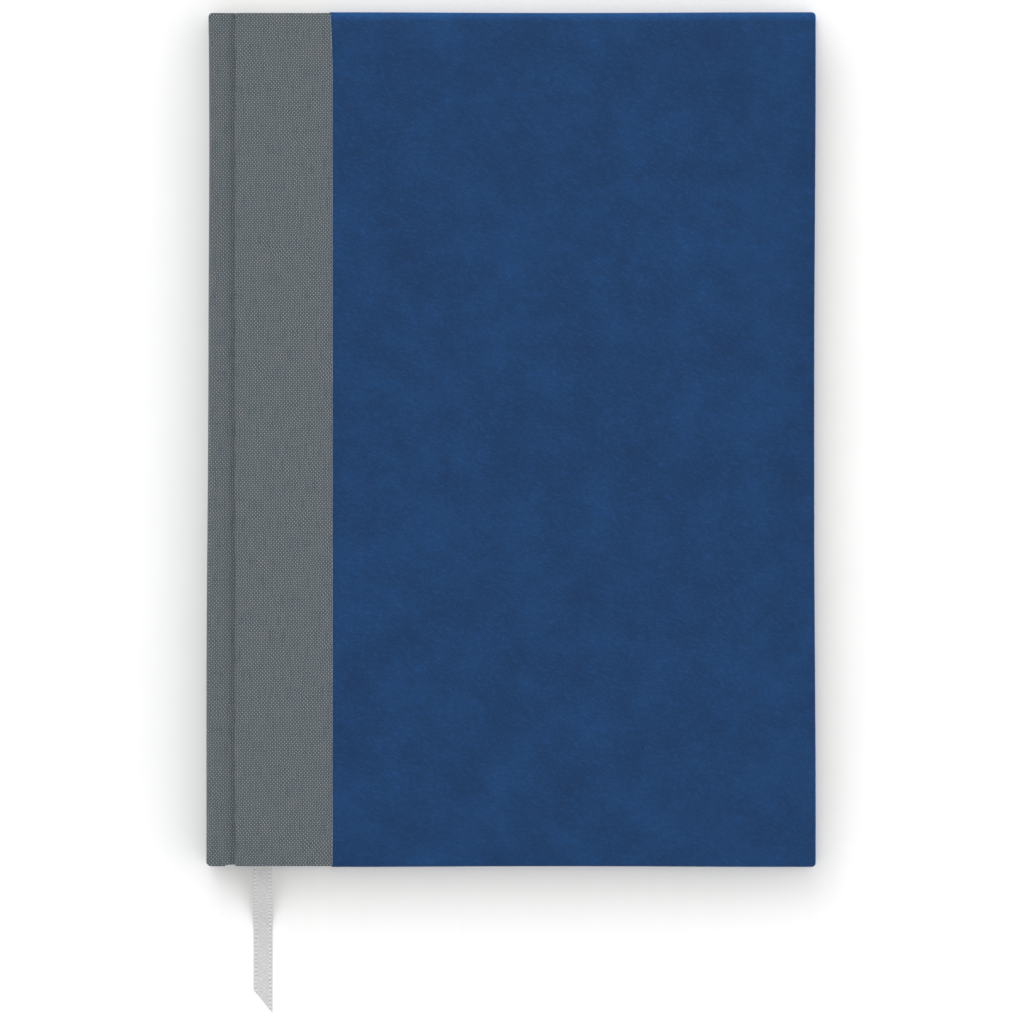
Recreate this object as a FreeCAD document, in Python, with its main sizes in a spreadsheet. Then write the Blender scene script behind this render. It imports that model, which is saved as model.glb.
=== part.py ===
import FreeCAD, Part
import math
import os
import re

import Sketcher

# A case-bound pilot logbook, closed and lying on its back cover.
# +X runs from the spine to the fore edge, +Y from the tail to the head and +Z up through the leaves.
# The origin is at the middle of the back cover's outer face. All sizes are in millimetres.
SIZES = {
    # the case
    "case_width": 154.0,
    "case_height": 216.0,
    "case_thickness": 18.0,
    "board_thickness": 2.0,
    "leatherette": 0.5,
    "cloth": 0.3,
    "turn_in": 15.0,
    "corner_radius": 1.2,
    "joint_width": 7.2,  # from the spine's outer face to the cloth on the cover board's edge
    "cloth_reach": 31.6,  # how far the cloth shows, from the spine's outer face
    # the spine strip
    "spine_board": 1.8,
    "spine_inset": 0.5,  # from the covers' outer faces to the spine strip's two edges
    "shoulder_radius": 1.8,
    # the leaves
    "square_margin": 3.0,  # how far the case stands out beyond the leaves
    "endpaper": 0.15,
    "leaf_gap": 0.2,  # air between a cover, its flyleaf and the leaves
    "middle_gap": 0.5,  # the opening that holds the marker ribbon
    # what holds the sections together
    "hollow": 0.25,  # air between the spine strip and the lining
    "thread": 0.25,
    "thread_clearance": 0.1,
    "mull": 0.2,
    "mull_margin": 2.0,
    "flap_reach": 20.0,
    "lining": 0.2,
    "band_tape": 12.0,
    "bead_radius": 0.8,
    "bead_clearance": 0.3,
    # the marker ribbon
    "ribbon_width": 4.7,
    "ribbon_thickness": 0.2,
    "ribbon_clearance": 0.05,
    "ribbon_middle": 14.1,  # from the spine's outer face to the ribbon's centre line
    "ribbon_shown": 37.3,  # how far its longer edge reaches beyond the case's tail
    "ribbon_slant": 5.8,  # how much further one edge reaches than the other
    "ribbon_radius": 14.0,
    "ribbon_slope": 1.9,  # the straight stretch between its two turns
    "ribbon_start": 1.0,  # the level stretch before its first turn
    "ribbon_head_gap": 1.0,
    "ribbon_hinge_gap": 0.3,
}
SECTIONS = 12
THREAD_STATIONS = 8
THREAD_SPREAD = 0.9  # the share of the leaves' height between the first and the last stitch

doc = FreeCAD.newDocument("pilot_logbook")
sheet = doc.addObject("Spreadsheet::Sheet", "Sizes")
for row, (alias, size) in enumerate(SIZES.items(), start=1):
    sheet.set(f"A{row}", alias)
    sheet.set(f"B{row}", str(size))
    sheet.setAlias(f"B{row}", alias)
doc.recompute()

nodes = []


# ---- Expressions ----
# A span is a pair of expressions, the low and the high end along one axis.
SPINE_FACE = "-case_width / 2"
FORE_EDGE = "case_width / 2"
BOARD_BACK = f"{SPINE_FACE} + joint_width + cloth"
BOARD_FRONT = f"{FORE_EDGE} - leatherette"
BOARD_HALF = "case_height / 2 - leatherette"
CLOTH_HALF = f"{BOARD_HALF} + cloth"
CLOTH_EDGE = f"{SPINE_FACE} + cloth_reach"
LEAF_HALF = "case_height / 2 - square_margin"
LEAF_FRONT = f"{FORE_EDGE} - square_margin"

BOARD_FACE = "leatherette + board_thickness"  # depths below a cover's outer face
COVER_FACE = f"{BOARD_FACE} + leatherette + endpaper"
FLYLEAF_FACE = f"{COVER_FACE} + leaf_gap"
LEAVES_FACE = f"{FLYLEAF_FACE} + endpaper + leaf_gap"
SECTION = f"((case_thickness - 2 * ({LEAVES_FACE}) - middle_gap) / {SECTIONS})"

SPINE_INNER = f"{SPINE_FACE} + cloth + spine_board"  # faces across the spine, from the strip inwards
LINING_BACK = f"{SPINE_INNER} + cloth + hollow"
LINING_FACE = f"{LINING_BACK} + lining"
MULL_FACE = f"{LINING_FACE} + mull"
THREAD_FACE = f"{MULL_FACE} + thread"
FOLDS = f"{THREAD_FACE} + thread_clearance"

RIBBON_LEFT = f"{SPINE_FACE} + ribbon_middle - ribbon_width / 2"
RIBBON_RIGHT = f"{SPINE_FACE} + ribbon_middle + ribbon_width / 2"
RIBBON_BOTTOM = "case_thickness / 2 - middle_gap / 2 + ribbon_clearance"


def both_ways(half):
    """The span that reaches as far one way from the middle as the other."""
    return f"-({half})", half


def layer(side, low, high):
    """The span between two depths below the outer face of the back or the front cover."""
    if side == "back":
        return low, high
    return f"case_thickness - ({high})", f"case_thickness - ({low})"


def linked(expression):
    """The expression with each alias pointing at the sheet."""
    return re.sub("|".join(rf"\b{alias}\b" for alias in SIZES), r"Sizes.\g<0>", expression)


def bind(thing, prop, expression):
    thing.setExpression(prop, linked(expression))


def value(expression):
    """The number that an expression stands for now."""
    return float(sheet.evalExpression(linked(expression)))


# ---- Makers ----
def as_node(thing, label):
    thing.Label = label
    nodes.append(thing)
    return thing


def add_box(name, x, y, z):
    """A box between three spans."""
    box = doc.addObject("Part::Box", name)
    for (low, high), side, place in ((x, "Length", "x"), (y, "Width", "y"), (z, "Height", "z")):
        bind(box, side, f"({high}) - ({low})")
        bind(box, f"Placement.Base.{place}", low)
    return box


def add_rounded(name, box, radius, chosen):
    """The box with the edges that pass a test rounded."""
    doc.recompute()
    size = value(radius)
    rounded = doc.addObject("Part::Fillet", name)
    rounded.Base = box
    rounded.Edges = [(number, size, size) for number, edge in enumerate(box.Shape.Edges, 1) if chosen(edge)]
    return rounded


def add_cut(name, base, tools):
    """The base with every tool taken away."""
    tool = tools[0]
    if len(tools) > 1:
        tool = doc.addObject("Part::MultiFuse", f"{name}_tools")
        tool.Shapes = tools
    cut = doc.addObject("Part::Cut", name)
    cut.Base = base
    cut.Tool = tool
    return cut


def new_sketch(body, plane):
    """An empty sketch on one of the body's own origin planes."""
    sketch = body.newObject("Sketcher::SketchObject", f"{body.Name}_sketch")
    support = next(item for item in body.Origin.OriginFeatures if item.Role == plane)
    sketch.AttachmentSupport = [(support, "")]
    sketch.MapMode = "FlatFace"
    return sketch


def fix_point(sketch, geometry, end, place):
    """Ties a point of the sketch to a pair of expressions."""
    for kind, expression in zip(("DistanceX", "DistanceY"), place):
        rule = Sketcher.Constraint(kind, -1, 1, geometry, end, value(expression))
        bind(sketch, f"Constraints[{sketch.addConstraint(rule)}]", expression)


def add_outline(sketch, corners):
    """A closed outline of straight lines, with each corner tied to its expressions."""
    points = [FreeCAD.Vector(value(x), value(y), 0) for x, y in corners]
    count = len(points)
    for number, point in enumerate(points):
        sketch.addGeometry(Part.LineSegment(point, points[(number + 1) % count]), False)
    for number in range(count):
        sketch.addConstraint(Sketcher.Constraint("Coincident", number, 2, (number + 1) % count, 1))
    for number, corner in enumerate(corners):
        fix_point(sketch, number, 1, corner)


def add_pad(body, sketch, length, side="One side"):
    pad = body.newObject("PartDesign::Pad", f"{body.Name}_pad")
    pad.Profile = sketch
    pad.SideType = side
    bind(pad, "Length", length)
    sketch.Visibility = False


def add_plate(name, corners, z):
    """A flat piece with an outline seen from above, between the two heights of a span."""
    body = doc.addObject("PartDesign::Body", name)
    sketch = new_sketch(body, "XY_Plane")
    add_outline(sketch, corners)
    add_pad(body, sketch, f"({z[1]}) - ({z[0]})")
    bind(body, "Placement.Base.z", z[0])
    return body


def add_sheet(name, x, y, z):
    """A plain rectangular plate between three spans."""
    corners = [(x[0], y[0]), (x[1], y[0]), (x[1], y[1]), (x[0], y[1])]
    return add_plate(name, corners, z)


def add_strip(name, corners, half):
    """A piece with one cross-section all the way from tail to head."""
    body = doc.addObject("PartDesign::Body", name)
    sketch = new_sketch(body, "XZ_Plane")
    add_outline(sketch, corners)
    add_pad(body, sketch, f"2 * ({half})", "Symmetric")
    return body


# ---- Covers ----
def is_fore_corner(edge):
    """An upright edge at one of the two fore edge corners."""
    box = edge.BoundBox
    return box.ZLength > 1e-6 and box.YLength < 1e-6 and abs(box.XMin - value(FORE_EDGE)) < 1e-6


def is_outer_shoulder(edge):
    """An edge along the spine, on its outer side."""
    box = edge.BoundBox
    return box.YLength > 1e-6 and box.ZLength < 1e-6 and box.XMax < value(SPINE_INNER)


def add_cover(side):
    """A cover: its board, the cloth and leatherette folded round it, the mull's flap and the pastedown."""
    board = add_sheet(
        f"{side}_board",
        x=(BOARD_BACK, BOARD_FRONT),
        y=both_ways(BOARD_HALF),
        z=layer(side, "leatherette", BOARD_FACE),
    )
    as_node(board, f"{side}_board")

    window_half = f"{BOARD_HALF} - turn_in"
    cloth_block = add_box(
        f"{side}_cloth_block",
        x=(f"{SPINE_FACE} + joint_width", CLOTH_EDGE),
        y=both_ways(CLOTH_HALF),
        z=layer(side, "leatherette - cloth", f"{BOARD_FACE} + cloth"),
    )
    cloth_window = add_box(
        f"{side}_cloth_window",
        x=(f"{SPINE_FACE} + joint_width", CLOTH_EDGE),
        y=both_ways(window_half),
        z=layer(side, BOARD_FACE, f"{BOARD_FACE} + cloth"),
    )
    cloth = add_cut(f"{side}_cloth", cloth_block, [board, cloth_window])
    as_node(cloth, f"{side}_cloth")

    leather_block = add_box(
        f"{side}_leather_block",
        x=(CLOTH_EDGE, FORE_EDGE),
        y=both_ways("case_height / 2"),
        z=layer(side, "0", f"{BOARD_FACE} + leatherette"),
    )
    leather_round = add_rounded(
        f"{side}_leather_round", leather_block, "corner_radius", is_fore_corner
    )
    leather_window = add_box(
        f"{side}_leather_window",
        x=(CLOTH_EDGE, f"{BOARD_FRONT} - turn_in"),
        y=both_ways(window_half),
        z=layer(side, BOARD_FACE, f"{BOARD_FACE} + leatherette"),
    )
    leather = add_cut(f"{side}_leatherette", leather_round, [board, leather_window])
    as_node(leather, f"{side}_leatherette")

    flap = add_sheet(
        f"{side}_mull_flap",
        x=(f"{BOARD_BACK} + mull_margin", f"{BOARD_BACK} + mull_margin + flap_reach"),
        y=both_ways(f"{window_half} - mull_margin"),
        z=layer(side, BOARD_FACE, f"{BOARD_FACE} + mull"),
    )
    as_node(flap, f"{side}_mull_flap")

    paste_block = add_box(
        f"{side}_paste_block",
        x=(BOARD_BACK, LEAF_FRONT),
        y=both_ways(LEAF_HALF),
        z=layer(side, BOARD_FACE, COVER_FACE),
    )
    paste_recess = add_box(
        f"{side}_paste_recess",
        x=(BOARD_BACK, f"{BOARD_FRONT} - turn_in - endpaper"),
        y=both_ways(f"{window_half} - endpaper"),
        z=layer(side, f"{BOARD_FACE} + mull + endpaper", COVER_FACE),
    )
    pastedown = add_cut(f"{side}_pastedown", paste_block, [cloth, leather, flap, paste_recess])
    as_node(pastedown, f"{side}_pastedown")

    flyleaf = add_sheet(
        f"{side}_flyleaf",
        x=(BOARD_BACK, LEAF_FRONT),
        y=both_ways(LEAF_HALF),
        z=layer(side, FLYLEAF_FACE, f"{FLYLEAF_FACE} + endpaper"),
    )
    as_node(flyleaf, f"{side}_flyleaf")


def add_joint_cloth(side):
    """The cloth from the spine's shoulder down into the groove beside the cover board."""
    shoulder = f"{SPINE_INNER} + cloth + leaf_gap"
    low_line = f"{SPINE_FACE} + joint_width - board_thickness / 2"
    board_side = f"{SPINE_FACE} + joint_width - leaf_gap"
    outer = [(shoulder, "spine_inset"), (low_line, BOARD_FACE), (board_side, BOARD_FACE)]
    section = outer + [(x, f"{depth} + cloth") for x, depth in reversed(outer)]
    corners = [(x, layer(side, depth, depth)[0]) for x, depth in section]
    as_node(add_strip(f"{side}_joint_cloth", corners, CLOTH_HALF), f"{side}_joint_cloth")


for cover_side in ("back", "front"):
    add_cover(cover_side)
    add_joint_cloth(cover_side)

# ---- Spine strip ----
STRIP_LOW = "spine_inset"
STRIP_HIGH = "case_thickness - spine_inset"
strip_block = add_box(
    "spine_board_block",
    x=(f"{SPINE_FACE} + cloth", SPINE_INNER),
    y=both_ways(BOARD_HALF),
    z=(f"{STRIP_LOW} + cloth", f"{STRIP_HIGH} - cloth"),
)
strip_board = add_rounded("spine_board_strip", strip_block, "shoulder_radius - cloth", is_outer_shoulder)
as_node(strip_board, "spine_board")
spine_block = add_box(
    "spine_cloth_block",
    x=(SPINE_FACE, f"{SPINE_INNER} + cloth"),
    y=both_ways(CLOTH_HALF),
    z=(STRIP_LOW, STRIP_HIGH),
)
spine_window = add_box(
    "spine_cloth_window",
    x=(SPINE_INNER, f"{SPINE_INNER} + cloth"),
    y=both_ways(f"{BOARD_HALF} - turn_in"),
    z=(f"{STRIP_LOW} + cloth", f"{STRIP_HIGH} - cloth"),
)
spine_round = add_rounded("spine_cloth_round", spine_block, "shoulder_radius", is_outer_shoulder)
spine_cloth = add_cut("spine_cloth_wrap", spine_round, [strip_board, spine_window])
as_node(spine_cloth, "spine_cloth")


# ---- Sections of leaves ----
def add_section(name, low):
    """A folded section: its leaves end in a rounded fold at the spine."""
    half = f"{SECTION} / 2"
    high = f"{low} + {SECTION}"
    fold = f"{FOLDS} + {half}"
    body = doc.addObject("PartDesign::Body", name)
    sketch = new_sketch(body, "XZ_Plane")
    corners = [(fold, low), (LEAF_FRONT, low), (LEAF_FRONT, high), (fold, high)]
    points = [FreeCAD.Vector(value(x), value(z), 0) for x, z in corners]
    for start, end in zip(points, points[1:]):
        sketch.addGeometry(Part.LineSegment(start, end), False)
    middle = (points[0] + points[3]) / 2
    circle = Part.Circle(middle, FreeCAD.Vector(0, 0, 1), value(half))
    sketch.addGeometry(Part.ArcOfCircle(circle, math.pi / 2, 3 * math.pi / 2), False)
    for number in range(2):
        sketch.addConstraint(Sketcher.Constraint("Coincident", number, 2, number + 1, 1))
    sketch.addConstraint(Sketcher.Constraint("Coincident", 2, 2, 3, 1))
    sketch.addConstraint(Sketcher.Constraint("Coincident", 3, 2, 0, 1))
    for number, corner in enumerate(corners[:3]):
        fix_point(sketch, number, 1, corner)
    fix_point(sketch, 2, 2, corners[3])
    centre = Sketcher.Constraint("DistanceX", -1, 1, 3, 3, value(fold))
    bind(sketch, f"Constraints[{sketch.addConstraint(centre)}]", fold)
    add_pad(body, sketch, f"2 * ({LEAF_HALF})", "Symmetric")
    as_node(body, name)


for count in range(SECTIONS):
    from_bottom = SECTIONS - 1 - count
    gap = " + middle_gap" if count < SECTIONS // 2 else ""
    add_section(f"section_{count + 1:02d}", f"{LEAVES_FACE} + {from_bottom} * {SECTION}{gap}")

# ---- What holds the sections together ----
LEAVES_SPAN = layer("back", LEAVES_FACE, f"case_thickness - ({LEAVES_FACE})")
stitches = []
for count in range(THREAD_STATIONS):
    station = f"(({LEAF_HALF}) * {THREAD_SPREAD} * {2 * count / (THREAD_STATIONS - 1) - 1:.4f})"
    stitch = add_box(
        f"stitch_{count + 1}",
        x=(MULL_FACE, THREAD_FACE),
        y=(f"{station} - thread / 2", f"{station} + thread / 2"),
        z=LEAVES_SPAN,
    )
    stitches.append(stitch)
sewing = doc.addObject("Part::Compound", "sewing")
sewing.Links = stitches
as_node(sewing, "sewing_thread")
as_node(
    add_sheet(
        "mull_cloth",
        x=(LINING_FACE, MULL_FACE),
        y=both_ways(f"{LEAF_HALF} - mull_margin"),
        z=LEAVES_SPAN,
    ),
    "mull",
)
as_node(
    add_sheet(
        "kraft_lining",
        x=(LINING_BACK, LINING_FACE),
        y=both_ways(f"{LEAF_HALF} - band_tape - mull_margin"),
        z=LEAVES_SPAN,
    ),
    "spine_liner",
)


def add_band(label, head):
    """A headband: a tape glued on the mull, with a corded bead over the ends of the folds."""
    bead_low = f"{LEAF_HALF} + bead_clearance"
    tape_ends = (f"{LEAF_HALF} - band_tape", f"{bead_low} + bead_radius")
    if not head:
        tape_ends = (f"-({tape_ends[1]})", f"-({tape_ends[0]})")
    tape = add_box(f"{label}_tape", x=(LINING_BACK, LINING_FACE), y=tape_ends, z=LEAVES_SPAN)
    bead = doc.addObject("Part::Cylinder", f"{label}_bead")
    bind(bead, "Radius", "bead_radius")
    bind(bead, "Height", f"case_thickness - 2 * ({LEAVES_FACE})")
    bind(bead, "Placement.Base.x", f"{LINING_BACK} + lining / 2 + bead_radius")
    bind(bead, "Placement.Base.y", f"{'' if head else '-'}({bead_low} + bead_radius)")
    bind(bead, "Placement.Base.z", LEAVES_FACE)
    band = doc.addObject("Part::Fuse", f"{label}_band")
    band.Base = tape
    band.Tool = bead
    as_node(band, label)


add_band("headband", head=True)
add_band("tailband", head=False)

# ---- Marker ribbon ----
# Between the leaves it lies flat. Beyond their tail edge it runs level, turns down, runs straight and turns
# level again where it meets the table. Its end is cut on a slant.
ribbon_x = (RIBBON_LEFT, RIBBON_RIGHT)
ribbon_z = (RIBBON_BOTTOM, f"{RIBBON_BOTTOM} + ribbon_thickness")
ribbon_y = (f"-({LEAF_HALF})", f"{LEAF_HALF} - ribbon_head_gap")
as_node(add_sheet("ribbon_between_leaves", x=ribbon_x, y=ribbon_y, z=ribbon_z), "ribbon_inner")

ribbon_radius = value("ribbon_radius")
slope_length = value("ribbon_slope")
exit_height = value(f"{RIBBON_BOTTOM} + ribbon_thickness / 2")
table_height = value("ribbon_thickness / 2")
# The angle at which two arcs of this radius and the slope between them fall from the leaves to the table.
ribbon_turn = math.atan2(2 * ribbon_radius, slope_length) + math.asin(
    (exit_height - table_height - 2 * ribbon_radius) / math.hypot(2 * ribbon_radius, slope_length)
)
bend_place = value(f"-({LEAF_HALF}) - ribbon_hinge_gap - ribbon_start")
ribbon_centre = value(f"{SPINE_FACE} + ribbon_middle")


def ribbon_point(along, height):
    return FreeCAD.Vector(ribbon_centre, along, height)


def turn_points(along, height, sense):
    """Start, middle and end of an arc that turns the ribbon down (sense 1) or back to level (sense -1)."""
    angles = (0, ribbon_turn / 2, ribbon_turn) if sense > 0 else (ribbon_turn, ribbon_turn / 2, 0)
    level = [ribbon_radius * math.sin(angle) for angle in angles]
    drop = [ribbon_radius * (1 - math.cos(angle)) for angle in angles]
    return [
        ribbon_point(along - sense * (x - level[0]), height - sense * (z - drop[0]))
        for x, z in zip(level, drop)
    ]


level_start = ribbon_point(value(f"-({LEAF_HALF}) - ribbon_hinge_gap"), exit_height)
first_turn = turn_points(bend_place, exit_height, 1)
slope_end = first_turn[2] + FreeCAD.Vector(
    0, -slope_length * math.cos(ribbon_turn), -slope_length * math.sin(ribbon_turn)
)
second_turn = turn_points(slope_end.y, slope_end.z, -1)
ribbon_path = Part.Wire(
    [
        Part.LineSegment(level_start, first_turn[0]).toShape(),
        Part.Arc(*first_turn).toShape(),
        Part.LineSegment(first_turn[2], slope_end).toShape(),
        Part.Arc(*second_turn).toShape(),
    ]
)
ribbon_width = value("ribbon_width")
ribbon_thickness = value("ribbon_thickness")
end_corners = [
    level_start + FreeCAD.Vector(x * ribbon_width / 2, 0, z * ribbon_thickness / 2)
    for x, z in ((-1, -1), (1, -1), (1, 1), (-1, 1), (-1, -1))
]
fall = doc.addObject("Part::Feature", "ribbon_fall_sweep")
fall.Shape = ribbon_path.makePipeShell([Part.makePolygon(end_corners)], True, False)
as_node(fall, "ribbon_fall")
expected_volume = ribbon_width * ribbon_thickness * ribbon_path.Length
print(f"ribbon_fall: both radii {ribbon_radius:.1f} mm, each turn {math.degrees(ribbon_turn):.2f} degrees")
print(f"ribbon_fall: volume {fall.Shape.Volume:.3f} mm3, section times length {expected_volume:.3f} mm3")
print(f"ribbon_fall: meets the table at y {second_turn[2].y:.3f} mm")
if abs(fall.Shape.Volume - expected_volume) > 0.01 * expected_volume:
    raise RuntimeError("ribbon_fall hasn't the volume of its section along its length")

end_start = f"{second_turn[2].y:.6f} - ribbon_hinge_gap"
right_tip = "-(case_height / 2) - ribbon_shown"
left_tip = f"{right_tip} + ribbon_slant"
end_outline = [
    (RIBBON_LEFT, end_start),
    (RIBBON_LEFT, left_tip),
    (RIBBON_RIGHT, right_tip),
    (RIBBON_RIGHT, end_start),
]
as_node(add_plate("ribbon_flat_end", end_outline, ("0", "ribbon_thickness")), "ribbon_end")

# ---- Check and write ----
doc.recompute()
failed = [thing.Label for thing in doc.Objects if {"Invalid", "Error"} & set(thing.State)]
if failed:
    raise RuntimeError(f"these didn't recompute: {failed}")
for node in nodes:
    if node.Shape.isNull() or not node.Shape.isValid() or node.Shape.Volume <= 0:
        raise RuntimeError(f"{node.Label} has no valid solid")
os.makedirs("parts", exist_ok=True)
for node in nodes:
    node.Shape.exportStep(f"parts/{node.Label}.step")
print(f"{len(nodes)} nodes written")
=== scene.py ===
"""The looks of a case-bound pilot logbook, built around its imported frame.

A quarter binding: grey bookcloth over the spine and the grooves, blue leatherette over the boards, twelve
sewn sections, endpapers, headbands and a satin marker ribbon. Lengths are metres and the frame is the book's
own: X from the spine to the fore edge, Y from the tail to the head, Z up through the closed book.
"""

import logging
import math
import random
from collections.abc import Callable, Iterable, Iterator
from contextlib import contextmanager
from dataclasses import dataclass, field
from enum import Enum
from functools import partial
from typing import Any

import bmesh
import bpy
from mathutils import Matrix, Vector


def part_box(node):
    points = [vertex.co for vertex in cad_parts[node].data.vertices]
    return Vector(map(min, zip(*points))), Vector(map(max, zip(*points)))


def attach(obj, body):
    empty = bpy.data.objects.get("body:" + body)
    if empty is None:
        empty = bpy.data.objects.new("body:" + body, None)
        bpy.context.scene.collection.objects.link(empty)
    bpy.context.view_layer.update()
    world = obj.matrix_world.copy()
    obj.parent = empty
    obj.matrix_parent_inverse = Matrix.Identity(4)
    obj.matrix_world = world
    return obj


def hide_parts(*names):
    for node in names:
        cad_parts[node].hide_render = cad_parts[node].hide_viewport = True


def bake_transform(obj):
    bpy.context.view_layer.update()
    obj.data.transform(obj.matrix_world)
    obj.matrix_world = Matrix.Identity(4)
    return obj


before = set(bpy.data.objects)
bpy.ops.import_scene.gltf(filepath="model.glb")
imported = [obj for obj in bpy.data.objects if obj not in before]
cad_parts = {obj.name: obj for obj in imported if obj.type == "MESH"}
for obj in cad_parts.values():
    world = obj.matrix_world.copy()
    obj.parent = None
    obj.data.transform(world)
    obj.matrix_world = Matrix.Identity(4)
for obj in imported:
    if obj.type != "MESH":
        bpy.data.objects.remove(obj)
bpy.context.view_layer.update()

MM = 0.001
LAY = "lay"  # the UV map that woven and printed finishes follow, in metres
LEAF_TONE = "leaf_tone"  # an attribute that tells one leaf from the next
TOUCH = 0.001 * MM  # less than this is the same place
NEAR = 0.01 * MM  # the least distance that makes a difference
EDGE = 0.1 * MM  # what counts as lying at an edge
FACING = 0.9  # the least share of a unit normal that counts as facing an axis
CLOTH_STEP = 9 * MM  # how far apart covering materials are cut so that they can give
PAPER_STEP = 12 * MM  # the same for paper
NOISE_RANGE = (0.3, 0.7)  # where nearly all of a noise pattern's values lie
log = logging.getLogger("logbook")


# ---- The bench: one mesh at a time, cut, drawn and bent like the real sheets ----


class Axis(Enum):
    """A direction of the book's frame."""

    X = 0
    Y = 1
    Z = 2

    @property
    def direction(self) -> Vector:
        """The unit vector along this axis."""
        return Vector([1.0 if index == self.value else 0.0 for index in range(3)])


class Kind(Enum):
    """What is picked in edit mode."""

    CORNER = "VERT"
    EDGE = "EDGE"
    FACE = "FACE"


Test = Callable[[Vector, Vector], bool]
Place = tuple[float, float, float]
Adder = Callable[..., Any]  # adds one node to a material's tree
Pattern = tuple[Any, Any, float]  # a colour's output, a height's output and the height's real depth


def spaced(low: float, high: float, step: float) -> list[float]:
    """Places between two ends, about a step apart and evenly spaced.

    Args:
        low: The first end, which isn't in the list.
        high: The last end, which isn't in the list.
        step: The distance aimed at.

    Returns:
        The places in rising order.
    """
    count = max(1, round((high - low) / step))
    return [low + (high - low) * index / count for index in range(1, count)]


class Piece:
    """A mesh on the bench. Its object stays at the origin and its place is in its mesh."""

    def __init__(self, obj: bpy.types.Object) -> None:
        """Takes an object that is already in place."""
        self.obj = obj

    @staticmethod
    def deselect() -> None:
        """Leaves nothing selected."""
        bpy.ops.object.select_all(action="DESELECT")

    def activate(self) -> None:
        """Selects this piece alone and makes it the active one."""
        self.deselect()
        self.obj.select_set(True)
        bpy.context.view_layer.objects.active = self.obj

    @classmethod
    def taken(cls, name: str, scale: Vector) -> "Piece":
        """Names and sizes the primitive just added, and puts its place into its mesh.

        Args:
            name: The piece's name.
            scale: Its size along each axis, for a primitive of size 1.

        Returns:
            The new piece.
        """
        obj = bpy.context.active_object
        obj.name = name
        obj.data.name = name
        obj.scale = scale
        bpy.ops.object.transform_apply(location=True, rotation=True, scale=True)
        return cls(obj)

    @classmethod
    def block(cls, name: str, low: Vector, high: Vector) -> "Piece":
        """Starts a piece as a cube between two corners.

        Args:
            name: The piece's name.
            low: Its lowest corner.
            high: Its highest corner.

        Returns:
            The new piece.
        """
        cls.deselect()
        bpy.ops.mesh.primitive_cube_add(size=1, location=(low + high) / 2)
        return cls.taken(name, high - low)

    @classmethod
    def plane(cls, name: str, centre: Place, width: float, length: float) -> "Piece":
        """Starts a piece as one level face.

        Args:
            name: The piece's name.
            centre: Its middle.
            width: Its size along X.
            length: Its size along Y.

        Returns:
            The new piece.
        """
        cls.deselect()
        bpy.ops.mesh.primitive_plane_add(size=1, location=centre)
        return cls.taken(name, Vector((width, length, 1)))

    @classmethod
    def run(cls, name: str, profile: list[tuple[float, float]], low_y: float, high_y: float) -> "Piece":
        """A sheet along Y that follows a profile, extruded edge by edge from one plane.

        Args:
            name: The piece's name.
            profile: The (x, z) points that it passes, from one edge to the other.
            low_y: Its tail end.
            high_y: Its head end.

        Returns:
            The new piece, one face thick.
        """
        (x0, z0), (x1, z1) = profile[:2]
        centre = ((x0 + x1) / 2, (low_y + high_y) / 2, z0)
        piece = cls.plane(name, centre, abs(x1 - x0), high_y - low_y)
        steps = [(there[0] - here[0], 0, there[1] - here[1]) for here, there in zip(profile[1:], profile[2:])]
        piece.draw_out(lambda middle, along: abs(middle.x - x1) < TOUCH, z1 - z0, steps)
        return piece

    @contextmanager
    def editing(self, kind: Kind = Kind.FACE) -> Iterator[None]:
        """Edit mode on this piece alone, with nothing selected at the start.

        Args:
            kind: Corners, edges or faces.
        """
        self.activate()
        bpy.ops.object.mode_set(mode="EDIT")
        bpy.ops.mesh.select_mode(type=kind.value)
        bpy.ops.mesh.select_all(action="DESELECT")
        yield
        bpy.ops.object.mode_set(mode="OBJECT")

    def pick(self, kind: Kind, test: Test) -> int:
        """Selects by place and direction, in edit mode.

        Args:
            kind: Corners, edges or faces.
            test: Takes the middle and the normal, or an edge's direction, and says whether it is wanted.

        Returns:
            How many were selected.
        """
        shape = bmesh.from_edit_mesh(self.obj.data)
        count = 0
        if kind is Kind.FACE:
            found = [(face, face.calc_center_median(), face.normal) for face in shape.faces]
        elif kind is Kind.EDGE:
            ends = [(edge, edge.verts[0].co, edge.verts[1].co) for edge in shape.edges]
            found = [(edge, (first + last) / 2, (last - first).normalized()) for edge, first, last in ends]
        else:
            found = [(corner, corner.co, corner.normal) for corner in shape.verts]
        for element, middle, direction in found:
            if test(middle, direction):
                element.select_set(True)
                count += 1
        shape.select_flush_mode()
        bmesh.update_edit_mesh(self.obj.data)
        return count

    def draw_out(self, test: Test, lift: float, steps: Iterable[Any]) -> None:
        """Draws a sheet out of a level face, edge by edge.

        Args:
            test: Says which edge goes ahead.
            lift: How far that edge is raised first.
            steps: How far it goes each time.
        """
        with self.editing(Kind.EDGE):
            self.pick(Kind.EDGE, test)
            bpy.ops.transform.translate(value=(0, 0, lift))
            for step in steps:
                bpy.ops.mesh.extrude_edges_move(TRANSFORM_OT_translate={"value": step})
            bpy.ops.mesh.select_all(action="SELECT")
            bpy.ops.mesh.normals_make_consistent(inside=False)

    def cut(self, axis: Axis, places: Iterable[float]) -> None:
        """Cuts the whole mesh across an axis, so that it can bend there.

        Args:
            axis: The axis that the cuts cross.
            places: Where they lie along it.
        """
        with self.editing():
            for place in places:
                bpy.ops.mesh.select_all(action="SELECT")
                bpy.ops.mesh.bisect(plane_co=axis.direction * place, plane_no=axis.direction)

    def remove(self, test: Test) -> None:
        """Takes away the faces that pass a test.

        Args:
            test: Says which.
        """
        with self.editing():
            if self.pick(Kind.FACE, test):
                bpy.ops.mesh.delete(type="FACE")

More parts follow.
